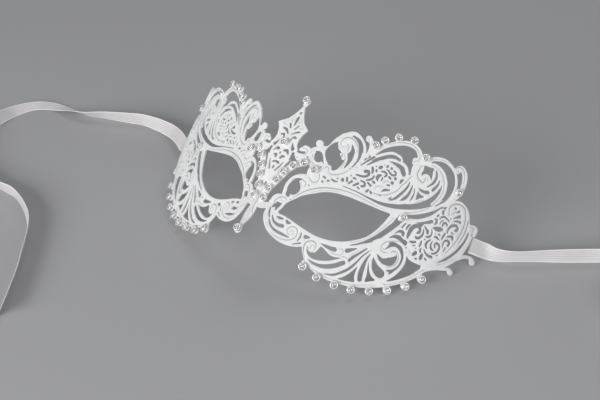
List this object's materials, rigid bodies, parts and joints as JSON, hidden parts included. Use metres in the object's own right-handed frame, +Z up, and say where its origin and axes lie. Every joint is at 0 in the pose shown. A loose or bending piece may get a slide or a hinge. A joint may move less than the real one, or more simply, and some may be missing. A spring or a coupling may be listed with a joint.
{
  "type": "masquerade mask",
  "caption": "Half-face filigree masquerade mask cut from one bent white metal sheet, with almond eye openings, clear stones in cups and two satin ties.",
  "frame": {"origin": "middle of the mask's footprint, on the floor that it stands on", "axes": "the face of the mask looks to -Y and leans back, +X is to the viewer's right, +Z is up"},
  "size_m": [0.4241, 0.1957, 0.0695],
  "materials": {
    "white_coat": "white powder coat, satin gloss",
    "crystal": "clear faceted stones in bright round cups",
    "satin": "white satin ribbon"
  },
  "bodies": {
    "root": {"filigree_plate": "white_coat", "stone_rim1_right": "crystal", "stone_rim1_left": "crystal", "stone_rim2_right": "crystal", "stone_rim2_left": "crystal", "stone_rim3_right": "crystal", "stone_rim3_left": "crystal", "stone_rim4_right": "crystal", "stone_rim4_left": "crystal", "stone_rim5_right": "crystal", "stone_rim5_left": "crystal", "stone_rim6_right": "crystal", "stone_rim6_left": "crystal", "stone_rim7_right": "crystal", "stone_rim7_left": "crystal", "stone_rim8_right": "crystal", "stone_rim8_left": "crystal", "stone_top1_right": "crystal", "stone_top1_left": "crystal", "stone_top2_right": "crystal", "stone_top2_left": "crystal", "stone_top3_right": "crystal", "stone_top3_left": "crystal", "stone_top4_right": "crystal", "stone_top4_left": "crystal", "stone_top5_right": "crystal", "stone_top5_left": "crystal", "stone_side_right": "crystal", "stone_side_left": "crystal", "stone_corner_right": "crystal", "stone_corner_left": "crystal", "stone_brow_right": "crystal", "stone_brow_left": "crystal", "stone_nose1_right": "crystal", "stone_nose1_left": "crystal", "stone_nose2_right": "crystal", "stone_nose2_left": "crystal", "stone_nose3_right": "crystal", "stone_nose3_left": "crystal", "stone_nose4_right": "crystal", "stone_nose4_left": "crystal", "stone_nose5_right": "crystal", "stone_nose5_left": "crystal", "stone_nose6_right": "crystal", "stone_nose6_left": "crystal", "stone_spade_tip": "crystal", "stone_spade_mid": "crystal", "stone_nose_tip": "crystal", "tie_right": "satin", "tie_left": "satin"}
  },
  "joints": []
}
